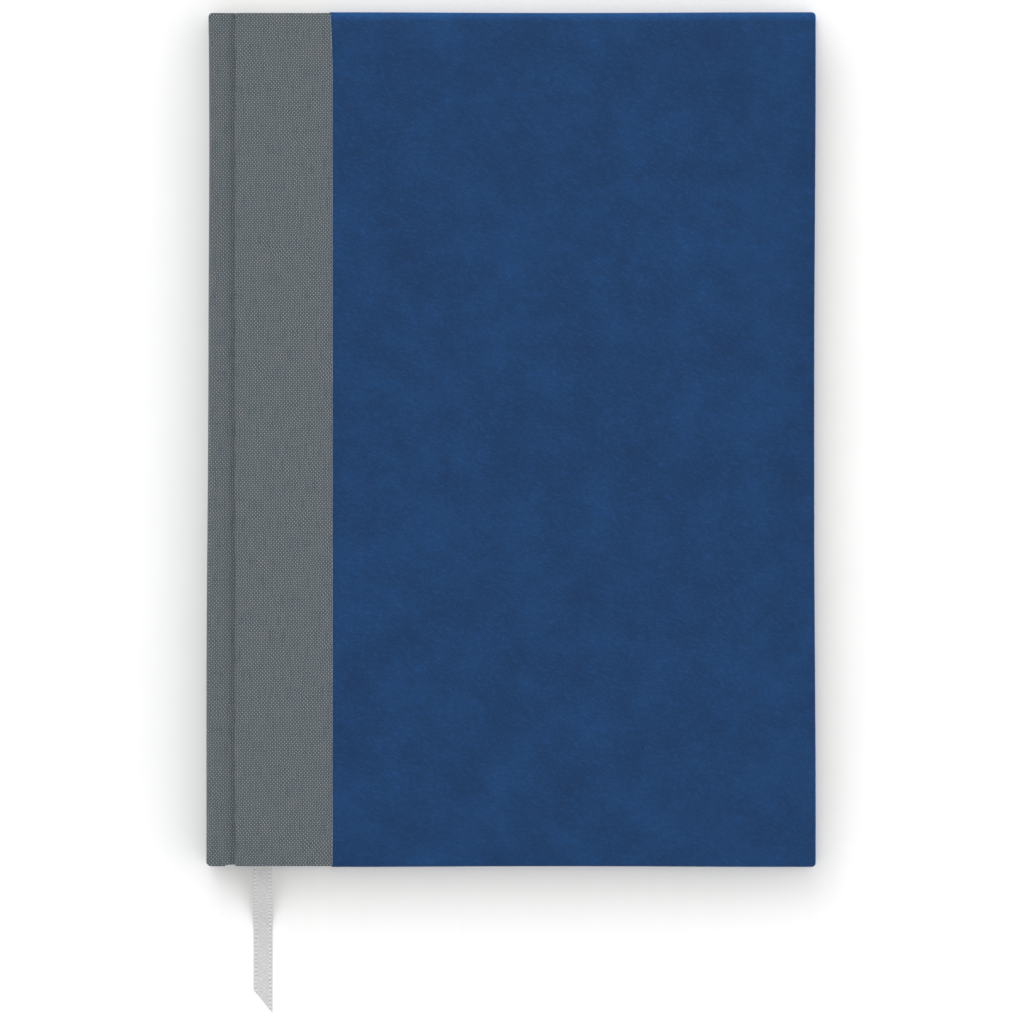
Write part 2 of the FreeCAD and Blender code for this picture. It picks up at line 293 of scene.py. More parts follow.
    def round_edges(self, test: Test, radius: float, segments: int) -> None:
        """Rounds the edges that pass a test.

        Args:
            test: Says which.
            radius: How far the rounding reaches.
            segments: How many faces it takes.
        """
        with self.editing(Kind.EDGE):
            if self.pick(Kind.EDGE, test):
                bpy.ops.mesh.bevel(offset=radius, segments=segments, profile=0.5)

    def shift(self, kind: Kind, test: Test, offset: Place) -> None:
        """Moves what passes a test.

        Args:
            kind: Corners, edges or faces.
            test: Says which.
            offset: How far they go.
        """
        with self.editing(kind):
            if self.pick(kind, test):
                bpy.ops.transform.translate(value=offset)

    def coax(self, test: Test, offset: Place, reach: float) -> None:
        """Moves the corners that pass a test and draws their neighbours along, less with distance.

        Args:
            test: Says which corners.
            offset: How far they go.
            reach: The distance at which a neighbour stays where it is.
        """
        with self.editing(Kind.CORNER):
            if self.pick(Kind.CORNER, test):
                bpy.ops.transform.translate(
                    value=offset,
                    use_proportional_edit=True,
                    proportional_edit_falloff="SMOOTH",
                    proportional_size=reach,
                )

    def squeeze(self, test: Test, factor: float, plane: float, reach: float) -> None:
        """Draws the corners that pass a test towards a plane across X, and their neighbours less.

        Args:
            test: Says which corners.
            factor: The share of their distance from the plane that is left.
            plane: Where the plane lies along X.
            reach: The distance at which a neighbour stays where it is.
        """
        with self.editing(Kind.CORNER):
            if self.pick(Kind.CORNER, test):
                bpy.ops.transform.resize(
                    value=(factor, 1, 1),
                    center_override=(plane, 0, 0),
                    use_proportional_edit=True,
                    proportional_edit_falloff="SMOOTH",
                    proportional_size=reach,
                )

    def modify(self, kind: str, **settings: Any) -> None:
        """Adds a modifier and applies it.

        Args:
            kind: The modifier's type.
            settings: Its properties.
        """
        self.activate()
        modifier = self.obj.modifiers.new(kind.lower(), kind)
        for name, value in settings.items():
            setattr(modifier, name, value)
        bpy.ops.object.modifier_apply(modifier=modifier.name)

    def ripple(self, size: float, height: float) -> None:
        """Gives the surface a slow unevenness.

        Args:
            size: The length of one swell.
            height: The most that a point moves along Z, from lowest to highest.
        """
        swell = bpy.data.textures.new(f"{self.obj.name}_swell", "CLOUDS")
        swell.noise_scale = size
        self.modify(
            "DISPLACE",
            texture=swell,
            texture_coords="LOCAL",
            strength=height,
            mid_level=0.5,
            direction="Z",
        )
        bpy.data.textures.remove(swell)

    def thicken(self, thickness: float, offset: float = 0.0, rim_slot: int = 0) -> None:
        """Gives a sheet its thickness.

        Args:
            thickness: The sheet's own.
            offset: 0 puts half on each side, and -1 all of it behind the face.
            rim_slot: How many material slots further on the cut rim's material stands.
        """
        self.modify(
            "SOLIDIFY",
            thickness=thickness,
            offset=offset,
            use_even_offset=True,
            use_quality_normals=True,
            material_offset_rim=rim_slot,
        )
        if offset == 0.0:
            with self.editing():
                bpy.ops.mesh.select_all(action="SELECT")
                bpy.ops.mesh.normals_make_consistent(inside=False)

    def copy(self, name: str, offset: Vector) -> "Piece":
        """A copy with its own mesh, moved by an offset.

        Args:
            name: The copy's name.
            offset: How far it goes.

        Returns:
            The copy.
        """
        twin = self.obj.copy()
        twin.data = self.obj.data.copy()
        twin.name = name
        twin.data.name = name
        bpy.context.scene.collection.objects.link(twin)
        piece = Piece(twin)
        with piece.editing():
            bpy.ops.mesh.select_all(action="SELECT")
            bpy.ops.transform.translate(value=offset)
        return piece

    def join(self, others: Iterable["Piece"]) -> None:
        """Takes other pieces' meshes into this one.

        Args:
            others: The pieces, which are gone afterwards.
        """
        self.activate()
        for other in others:
            other.obj.select_set(True)
        bpy.ops.object.join()

    def smooth(self, degrees: float = 40) -> None:
        """Shades the piece smoothly wherever it turns by less than an angle."""
        self.activate()
        bpy.ops.object.shade_smooth_by_angle(angle=math.radians(degrees))

    def lay(self, place: Callable[[Vector, Vector], tuple[float, float]] | None = None) -> None:
        """Gives the piece its UV map in metres.

        Args:
            place: Takes a corner and its face's normal and gives the map's place. Without it, each face is
                laid along the two axes that it faces least, with Y as the second wherever it can be.
        """
        mesh = self.obj.data
        while mesh.uv_layers:
            mesh.uv_layers.remove(mesh.uv_layers[0])
        layer = mesh.uv_layers.new(name=LAY)
        for polygon in mesh.polygons:
            for index in polygon.loop_indices:
                corner = mesh.vertices[mesh.loops[index].vertex_index].co
                layer.data[index].uv = (place or flat_lay)(corner, polygon.normal)

    def dress(self, *finishes: "Finish") -> None:
        """Puts finishes on the piece, one to each material slot in order.

        Args:
            finishes: The finishes, from the first slot on.
        """
        self.obj.data.materials.clear()
        for finish in finishes:
            self.obj.data.materials.append(finish.material())

    def use_slot(self, number: int, test: Test) -> None:
        """Gives the faces that pass a test the material of a slot.

        Args:
            number: The slot, counted from 0.
            test: Says which faces.
        """
        for polygon in self.obj.data.polygons:
            if test(polygon.center, polygon.normal):
                polygon.material_index = number

    def make_up(
        self,
        thickness: float,
        finish: "Finish",
        offset: float = 0.0,
        degrees: float = 60,
        place: Callable[[Vector, Vector], tuple[float, float]] | None = None,
    ) -> None:
        """Turns a shaped face into a finished sheet.

        Args:
            thickness: The sheet's own.
            finish: Its finish.
            offset: 0 puts half the thickness on each side, and -1 all of it behind the face.
            degrees: It is shaded smoothly wherever it turns by less than this.
            place: How its UV map is laid, as for lay.
        """
        self.thicken(thickness, offset)
        self.smooth(degrees)
        self.lay(place)
        self.dress(finish)

    def ride(self, body: str, slot: str, *nodes: str) -> None:
        """Fixes the piece to one moving body.

        Args:
            body: The body that carries it.
            slot: The slot that its material fills. It is not used.
            nodes: The frame's nodes that it stands for.
        """
        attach(self.obj, body)
        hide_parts(*nodes)
        log.info("%s: on %s", self.obj.name, body)

    def bend(self, bodies: tuple[str, str], start: Place, end: Place, slot: str, *nodes: str) -> None:
        """Puts the piece's place into its mesh and hides the frame's nodes that it stands for.

        Args:
            bodies: The body of its near part and the body of its far part, which are only named in the log.
            start: Where the bend would start. It is not used.
            end: Where the bend would end. It is not used.
            slot: The slot that its material fills. It is not used.
            nodes: The frame's nodes that it stands for, if any.
        """
        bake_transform(self.obj)
        if nodes:
            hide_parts(*nodes)
        log.info("%s: bends from %s to %s", self.obj.name, *bodies)


def flat_lay(corner: Vector, normal: Vector) -> tuple[float, float]:
    """Lays a face along the two axes that it faces least.

    Args:
        corner: The corner to place.
        normal: Its face's direction.

    Returns:
        The map's place, in metres.
    """
    facing = max(range(3), key=lambda index: abs(normal[index]))
    if facing == Axis.Y.value:
        return corner.x, corner.z
    return (corner.x if facing == Axis.Z.value else corner.z), corner.y


# ---- Finishes ----


def linear(colour: str) -> tuple[float, float, float, float]:
    """Turns an sRGB hex colour, such as "26416a", to the linear colour that a shader takes."""
    parts = [int(colour[start : start + 2], 16) / 255 for start in (0, 2, 4)]
    return (*[part / 12.92 if part <= 0.04045 else ((part + 0.055) / 1.055) ** 2.4 for part in parts], 1.0)


def add_node(
    tree: bpy.types.NodeTree,
    kind: str,
    *values: Any,
    output: int | str = 0,
    stops: tuple[str, ...] = (),
    **named: Any,
) -> Any:
    """Adds one node with its settings and links.

    Args:
        tree: The material's node tree.
        kind: The node's type, without the ShaderNode that it starts with.
        values: What its first sockets take: values, or other nodes' outputs.
        output: The name or number of the output to give.
        stops: A colour ramp's colours, spread evenly from its low end to its high end.
        named: A name in small letters is the node's own property, and one with a capital is a socket, with
            underscores for the spaces.

    Returns:
        The output asked for, or None where the node has no outputs.
    """
    node = tree.nodes.new(f"ShaderNode{kind}")
    sockets = dict(enumerate(values))
    for name, value in named.items():
        if name[0].isupper():
            sockets[name.replace("_", " ")] = value
        else:
            setattr(node, name, value)
    for socket, value in sockets.items():
        if isinstance(value, bpy.types.NodeSocket):
            tree.links.new(value, node.inputs[socket])
        else:
            node.inputs[socket].default_value = value
    for _ in stops[2:]:
        node.color_ramp.elements.new(0.5)
    for index, colour in enumerate(stops):
        node.color_ramp.elements[index].position = index / (len(stops) - 1)
        node.color_ramp.elements[index].color = linear(colour)
    return node.outputs[output] if node.outputs else None


@dataclass(frozen=True)
class Finish:
    """A real material and how its surface was made."""

    name: str
    roughness: float = 0.6
    specular: float = 0.5
    sheen: float = 0.0
    sheen_roughness: float = 0.5

    def material(self) -> bpy.types.Material:
        """Gives the finish's material, made the first time that it is asked for."""
        found = bpy.data.materials.get(self.name)
        if found:
            return found
        made = bpy.data.materials.new(self.name)
        made.use_nodes = True
        made.node_tree.nodes.clear()
        add = partial(add_node, made.node_tree)
        colour, height, depth = self.surface(add)
        shader = add(
            "BsdfPrincipled",
            Base_Color=colour,
            Roughness=self.roughness,
            Specular_IOR_Level=self.specular,
            Sheen_Weight=self.sheen,
            Sheen_Roughness=self.sheen_roughness,
            Normal=add("Bump", Strength=1.0, Distance=depth, Height=height),
        )
        add("OutputMaterial", Surface=shader)
        return made

    def surface(self, add: Adder) -> Pattern:
        """Adds the nodes of the finish's pattern.

        Args:
            add: Adds a node to the material's tree.

        Returns:
            Its colour, height and depth.
        """
        raise NotImplementedError


@dataclass(frozen=True)
class WovenCloth(Finish):
    """Cotton bookcloth in plain weave, dyed in the yarn and backed with paper.

    The eye gets round threads that cross over and under, with painted light and shade: the upper ones are
    painted brighter and the gaps darker. It also gets slubs along the threads, and yarns that lean to blue,
    green and brown under one grey. The threads lie 0.43 by 0.48 mm apart, as real ones do.
    """

    name: str = "dyed_cotton_bookcloth"
    roughness: float = 0.86
    specular: float = 0.25
    sheen: float = 0.12
    warp_pitch: float = 0.43 * MM
    weft_pitch: float = 0.48 * MM
    thread_depth: float = 0.09 * MM
    under: float = 0.42
    slub: float = 0.09
    drift_length: float = 9 * MM
    drift: float = 1.2 * MM

    def surface(self, add: Adder) -> Pattern:
        """Adds the threads, their colours, the gaps between them and the painted shade on the gaps and the
        lower threads.

        Args:
            add: Adds a node to the material's tree.

        Returns:
            Its colour, height and depth.
        """
        place = add("UVMap", uv_map=LAY)
        wander = add("TexNoise", Vector=place, Scale=1 / self.drift_length, Detail=2.0)
        drift = add("Math", wander, self.drift, operation="MULTIPLY")
        waves = []
        for axis, pitch in (("X", self.warp_pitch), ("Y", self.weft_pitch)):
            along = add("SeparateXYZ", place, output=axis)
            drifted = add("Math", along, drift, operation="ADD")
            turns = add("Math", drifted, math.pi / pitch, operation="MULTIPLY")
            waves.append(add("Math", turns, operation="SINE"))
        rounds = [add("Math", wave, operation="ABSOLUTE") for wave in waves]
        heights = []
        for own, other in (rounds, rounds[::-1]):
            dip = add("Math", other, 0.4, 0.6, operation="MULTIPLY_ADD")
            heights.append(add("Math", own, dip, operation="MULTIPLY"))
        crossing = add("Math", *waves, operation="MULTIPLY")
        warp_over = add("Math", crossing, 0.0, operation="GREATER_THAN")
        height = add("MapRange", warp_over, 0.0, 1.0, heights[1], heights[0])
        yarns = []
        for stretch_or_highlight_band in ((1.0, self.slub, 1.0), (self.slub, 1.0, 1.0)):
            stretched_or_highlit = add("Mapping", Vector=place, Scale=tuple(part / self.warp_pitch for part in stretch_or_highlight_band))
            yarns.append(add("TexNoise", Vector=stretched_or_highlit, Scale=1.0, Detail=3.0))
        yarn = add("MapRange", warp_over, 0.0, 1.0, yarns[1], yarns[0])
        spread = add("MapRange", yarn, *NOISE_RANGE)
        dye = add("ValToRGB", spread, stops=("6a7781", "818d95", "899295", "94979d"))
        # Painted light and shade: the colour is darkened in the gaps between threads and on the lower
        # threads, so the upper ones read brightest.
        raised = add("Math", warp_over, 1 - self.under, self.under, operation="MULTIPLY_ADD")
        lit = add("Math", height, raised, operation="MULTIPLY")
        shade = add("ValToRGB", lit, stops=("5c5c5c", "c4c4c4", "ffffff"))
        colour = add("MixRGB", 1.0, dye, shade, blend_type="MULTIPLY")
        fullness = add("Math", yarn, 0.6, 0.7, operation="MULTIPLY_ADD")
        return colour, add("Math", height, fullness, operation="MULTIPLY"), self.thread_depth


@dataclass(frozen=True)
class Leatherette(Finish):
    """Polyurethane leatherette, cast on a grained paper and backed with fleece.

    The eye gets an even blue with slow mottling, a short wrinkle grain that leans across the board, with
    painted shade along the bottoms of the wrinkles, a soft broad gloss, and a painted highlight: a paler band
    along the board's head edge, where the rounded edge catches the light. The real wrinkles are about 0.3 mm
    apart and are drawn at about twice that.
    """

    name: str = "cast_polyurethane_leatherette"
    roughness: float = 0.5
    specular: float = 0.16
    wrinkle: float = 0.75 * MM
    wrinkle_run: float = 2.3
    lean: float = math.radians(65)
    pore: float = 1.1 * MM
    mottle: float = 13 * MM
    depth: float = 0.035 * MM
    # The head edge's place, and the width of the painted highlight below it.
    head: float = 108 * MM
    stretch_or_highlight_band: float = 2.4 * MM

    def surface(self, add: Adder) -> Pattern:
        """Adds the wrinkles, the pores, the mottling, the painted shade in the wrinkles and the painted
        highlight along the head edge.

        Args:
            add: Adds a node to the material's tree.

        Returns:
            Its colour, height and depth.
        """
        place = add("TexCoord", output="Object")
        scale = (self.wrinkle, self.wrinkle * self.wrinkle_run, self.wrinkle)
        leaning = add("Mapping", Vector=place, Rotation=(0, 0, self.lean), Scale=scale, vector_type="TEXTURE")
        grain = add("TexNoise", Vector=leaning, Scale=1.0, Detail=3.0, Distortion=0.8)
        crease = add("Math", add("Math", grain, 0.5, operation="SUBTRACT"), operation="ABSOLUTE")
        wrinkles = add("Math", add("Math", crease, 9.0, operation="MULTIPLY"), 1.0, operation="MINIMUM")
        pores = add(
            "TexVoronoi", Vector=place, Scale=1 / self.pore, feature="DISTANCE_TO_EDGE", output="Distance"
        )
        cells = add("Math", add("Math", pores, 4.0, operation="MULTIPLY"), 0.6, operation="MINIMUM")
        height = add("Math", wrinkles, cells, operation="ADD")
        slow = add("TexNoise", Vector=place, Scale=1 / self.mottle, Detail=8.0, Roughness=0.68)
        clouds = add("Math", add("MapRange", slow, *NOISE_RANGE), 0.7, operation="MULTIPLY")
        mixed = add("Math", grain, 0.3, clouds, operation="MULTIPLY_ADD")
        colour = add("ValToRGB", mixed, stops=("082f58", "0c3865", "114071"))
        # Painted highlight: the blue is mixed, patchily, towards a paler blue over the last few millimetres
        # below the head edge, where the rounded edge catches the light.
        level = add("SeparateXYZ", place, output="Y")
        head_highlight = add("MapRange", level, self.head - self.stretch_or_highlight_band, self.head)
        patchy = add("Math", slow, 1.2, 0.1, operation="MULTIPLY_ADD")
        pale = add("Math", head_highlight, patchy, operation="MULTIPLY")
        stretched_or_highlit = add("MixRGB", pale, colour, linear("1a5596"))
        # Painted shade: the colour is darkened a little along the bottoms of the wrinkles.
        painted_crease_shade = add("ValToRGB", wrinkles, stops=("e2e2e2", "ffffff"))
        return add("MixRGB", 1.0, stretched_or_highlit, painted_crease_shade, blend_type="MULTIPLY"), height, self.depth


@dataclass(frozen=True)
class Fibrous(Finish):
    """Paper, board, fleece or thread: fibres that lie mostly one way, with flecks.

    The eye gets fine streaks along the grain, soft clouding and a dry, matt surface. Fibres of about 0.1 mm
    are drawn at the width given, which still shows.
    """

    colours: tuple[str, str, str] = ("d8d2c4", "e4dfd3", "eeeae0")
    fibre: float = 0.4 * MM
    along: float = 0.15
    cloud: float = 14 * MM
    depth: float = 0.02 * MM
    laid: bool = False

    def surface(self, add: Adder) -> Pattern:
        """Adds the fibres and the clouding.

        Args:
            add: Adds a node to the material's tree.

        Returns:
            Its colour, height and depth.
        """
        place = add("UVMap", uv_map=LAY) if self.laid else add("TexCoord", output="Object")
        scale = (1 / self.fibre, self.along / self.fibre, 1 / self.fibre)
        fibres = add("TexNoise", Vector=add("Mapping", Vector=place, Scale=scale), Scale=1.0, Detail=4.0)
        clouds = add("TexNoise", Vector=place, Scale=1 / self.cloud, Detail=3.0)
        share = add("Math", clouds, 0.4, operation="MULTIPLY")
        mixed = add("Math", fibres, 0.6, share, operation="MULTIPLY_ADD")
        return add("ValToRGB", add("MapRange", mixed, *NOISE_RANGE), stops=self.colours), fibres, self.depth


@dataclass(frozen=True)
class LeafEdge(Finish):
    """The cut edges of wood-free leaves, trimmed with a guillotine.

    The eye gets a stack of thin lines, because each leaf takes the light a little differently.
    """

    name: str = "trimmed_leaf_edges"
    roughness: float = 0.9
    specular: float = 0.2
    drag: float = 2.5 * MM

    def surface(self, add: Adder) -> Pattern:
        """Adds each leaf's own tone and the drag of the blade.

        Args:
            add: Adds a node to the material's tree.

        Returns:
            Its colour, height and depth.
        """
        tone = add("Attribute", attribute_name=LEAF_TONE, output="Fac")
        drag = add("TexNoise", Vector=add("UVMap", uv_map=LAY), Scale=1 / self.drag, Detail=2.0)
        share = add("Math", drag, 0.25, operation="MULTIPLY")
        mixed = add("Math", tone, 0.75, share, operation="MULTIPLY_ADD")
        return add("ValToRGB", mixed, stops=("c6c0b2", "e2ddd0", "f4f1e8")), drag, 0.01 * MM


@dataclass(frozen=True)
class RuledLeaf(Finish):
    """Wood-free writing paper, offset ruled for a log: rows, columns and a heavier line under the headings.

    The eye gets warm white paper with faint tooth and thin blue-grey rules. No words or figures are printed.
    The real rules are about 0.2 mm wide and are drawn at twice that.
    """

    name: str = "ruled_writing_paper"
    roughness: float = 0.88
    specular: float = 0.2
    row: float = 7.0 * MM
    column: float = 15.5 * MM
    rule: float = 0.42 * MM
    top: float = 84 * MM
    reach: tuple[float, float] = (-58 * MM, 66 * MM)
    tooth: float = 0.5 * MM

    def surface(self, add: Adder) -> Pattern:
        """Adds the rules inside the printed area.

        Args:
            add: Adds a node to the material's tree.

        Returns:
            Its colour, height and depth.
        """
        place = add("UVMap", uv_map=LAY)
        x, y = [add("SeparateXYZ", place, output=axis) for axis in "XY"]
        tooth = add("TexNoise", Vector=place, Scale=1 / self.tooth, Detail=3.0)
        paper = add("ValToRGB", tooth, stops=("d6d2c6", "dcd8cc", "e1ddd2"))
        rules = add("Math", y, self.top, self.rule, operation="COMPARE")
        for value, pitch in ((y, self.row), (x, self.column)):
            nearest = add("Math", value, pitch / 2, operation="PINGPONG")
            line = add("Math", nearest, self.rule / 2, operation="LESS_THAN")
            rules = add("Math", rules, line, operation="MAXIMUM")
        off_middle = add("Math", y, operation="ABSOLUTE")
        rows = add("Math", off_middle, self.top + self.rule, operation="LESS_THAN")
        left, right = self.reach
        columns = add("Math", x, (left + right) / 2, (right - left) / 2, operation="COMPARE")
        printed = add("Math", rows, columns, operation="MULTIPLY")
        shown = add("Math", rules, printed, operation="MULTIPLY")
        inked = add("MixRGB", add("Math", shown, 0.9, operation="MULTIPLY"), paper, linear("4d6a92"))
        return inked, tooth, 0.01 * MM


@dataclass(frozen=True)
class SatinRibbon(Finish):
    """Polyester satin, woven with a picked edge and cut to length.

    The eye gets a smooth, pale grey band with a fine speckle across it, and a row of picks just inside each
    edge, with a painted highlight on each pick and painted shadow between them.
    """

    name: str = "woven_polyester_satin"
    roughness: float = 0.42
    specular: float = 0.5
    sheen: float = 0.25
    middle: float = 0.0
    half_width: float = 2.35 * MM
    pick_pitch: float = 1.05 * MM
    pick_inset: float = 0.56 * MM
    pick_size: float = 0.30 * MM
    float_size: tuple[float, float] = (0.9 * MM, 0.35 * MM)
    depth: float = 0.04 * MM

    def surface(self, add: Adder) -> Pattern:
        """Adds the satin floats and the picks.

        Args:
            add: Adds a node to the material's tree.

        Returns:
            Its colour, height and depth.
        """
        place = add("UVMap", uv_map=LAY)
        x, y = [add("SeparateXYZ", place, output=axis) for axis in "XY"]
        stretched_or_highlit = add("Mapping", Vector=place, Scale=(1 / self.float_size[0], 1 / self.float_size[1], 1))
        floats = add("TexNoise", Vector=stretched_or_highlit, Scale=1.0, Detail=3.0)
        band = add("ValToRGB", add("MapRange", floats, *NOISE_RANGE), stops=("b6b6b6", "c1c1c2", "cececf"))
        from_middle = add("Math", add("Math", x, self.middle, operation="SUBTRACT"), operation="ABSOLUTE")
        off_row = add("Math", from_middle, self.half_width - self.pick_inset, operation="SUBTRACT")
        share = add("Math", off_row, self.pick_size, operation="DIVIDE")
        squared = add("Math", share, share, operation="MULTIPLY")
        fade = add("Math", add("Math", 1.0, squared, operation="SUBTRACT"), 0.0, operation="MAXIMUM")
        turns = add("Math", y, 2 * math.pi / self.pick_pitch, operation="MULTIPLY")
        wave = add("Math", add("Math", turns, operation="SINE"), fade, operation="MULTIPLY")
        picks = add("Math", wave, 0.5, 0.5, operation="MULTIPLY_ADD")
        # Painted light and shade: the picks are painted brighter and the gaps between them darker.
        shade = add("ValToRGB", picks, stops=("9a9a9a", "bcbcbc", "dedede"))
        colour = add("MixRGB", 0.85, band, shade, blend_type="OVERLAY")
        return colour, add("Math", floats, 0.5, picks, operation="MULTIPLY_ADD"), self.depth


@dataclass(frozen=True)
class Gauze(Finish):
    """Starched cotton mull, an open plain weave.

    The eye gets crossed pale threads with the dark of the glue between them. The real threads are 0.9 mm
    apart.
    """

    name: str = "starched_cotton_mull"
    roughness: float = 0.9
    specular: float = 0.2
    pitch: float = 0.9 * MM

    def surface(self, add: Adder) -> Pattern:
        """Adds the two sets of threads.

        Args:
            add: Adds a node to the material's tree.

        Returns:
            Its colour, height and depth.
        """
        x, y, z = [add("SeparateXYZ", add("TexCoord", output="Object"), output=axis) for axis in "XYZ"]
        threads = []
        for value in (add("Math", x, z, operation="ADD"), y):
            turns = add("Math", value, math.pi / self.pitch, operation="MULTIPLY")
            threads.append(add("Math", add("Math", turns, operation="SINE"), operation="ABSOLUTE"))
        height = add("Math", *threads, operation="MAXIMUM")
        return add("ValToRGB", height, stops=("8d8268", "a89d84", "e8e2d2")), height, 0.12 * MM


CLOTH = WovenCloth()
LEATHERETTE = Leatherette()
LEAF_EDGE = LeafEdge()
RULED_LEAF = RuledLeaf()
MULL = Gauze()
# The leatherette's backing, cut with a knife: a pale, furry blue line along the edge. Its paleness is partly
# the backing's own colour and partly a painted highlight, for the skived edge catching the light.
CUT_EDGE = Fibrous(
    "cut_backing_with_painted_highlight", roughness=0.9, colours=("5d7595", "7389a6", "8c9fb8"), fibre=0.3 * MM
)
# Recycled pulp, pressed hard: grey-brown, coarse and flecked.
GREYBOARD = Fibrous(
    "pressed_greyboard", roughness=0.95, colours=("77736a", "8b877d", "a09c92"), depth=0.04 * MM
)
# Uncoated paper, off-white, with fibres that follow the sheet.
ENDPAPER = Fibrous("uncoated_endpaper", roughness=0.9, colours=("d3d0c8", "dad7cf", "e0ddd6"), laid=True)
# Unbleached kraft, glazed on the machine: brown, with long dark streaks.
KRAFT = Fibrous("machine_kraft_paper", roughness=0.85, colours=("8a6540", "a07a52", "b58f66"), fibre=0.5 * MM)
# Linen, spun and drawn through wax: cream, with a low shine.
THREAD = Fibrous(
    "waxed_linen_thread", roughness=0.7, colours=("c9bfa6", "ddd4bd", "ece5d2"), fibre=0.25 * MM, along=0.5
)
# Mercerised cotton, wound in two colours: smooth, with a silky streak.
BAND_PALE = Fibrous(
    "mercerised_cotton_pale", roughness=0.6, colours=("d2d0ca", "e2e0da", "f0eee9"), fibre=0.15 * MM
)
BAND_BLUE = Fibrous(
    "mercerised_cotton_blue", roughness=0.6, colours=("1d3a66", "27487a", "31558c"), fibre=0.15 * MM
)
# A roll of background paper: white, even and without shine.
FLOOR = Fibrous(
    "matt_studio_paper", roughness=1.0, specular=0.0, colours=("f6f6f6", "f7f7f7", "f8f8f8"), fibre=4 * MM
)


# ---- The book ----


class Side(Enum):
    """Which cover a piece belongs to. The value is the way that it faces along Z."""

    FRONT = 1
    BACK = -1

    @property
    def pages(self) -> str:
        """The body that holds this half of the leaves."""
        return "front_pages" if self is Side.FRONT else "rear_pages"

    def node(self, piece: str) -> str:
        """The name of this side's node or body."""
        return f"{self.name.lower()}_{piece}"

    def faces(self, low: Vector, high: Vector) -> tuple[float, float]:
        """The heights of a box's outer and inner face."""
        return (high.z, low.z) if self is Side.FRONT else (low.z, high.z)


def refinish(node: str, finish: Finish) -> None:
    """Dresses a node that is shown as it was designed."""
    Piece(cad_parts[node]).dress(finish)
    log.info("%s: kept, in %s", node, finish.name)


def wrapped(name: str, low: Vector, high: Vector, opened: Test, radius: float, turn_in: float) -> Piece:
    """A covering material drawn round a board: a block with its open faces taken away and its edges rounded.

    Args:
        name: The piece's name.
        low: The lowest corner of its outside.
        high: The highest corner of its outside.
        opened: Says which faces the material doesn't cover.
        radius: The roundness that it takes over the board's edges.
        turn_in: How far it is turned in over the board.

    Returns:
        The piece, one face thick.
    """
    wrap = Piece.block(name, low, high)
    wrap.cut(Axis.Y, [*spaced(low.y, high.y, CLOTH_STEP), low.y + turn_in, high.y - turn_in])
    if high.x - low.x > 2 * turn_in:
        wrap.cut(Axis.X, [*spaced(low.x, high.x - turn_in, CLOTH_STEP), high.x - turn_in])
    wrap.remove(opened)
    wrap.modify("BEVEL", width=radius, segments=4, limit_method="ANGLE", angle_limit=math.radians(60))
    return wrap


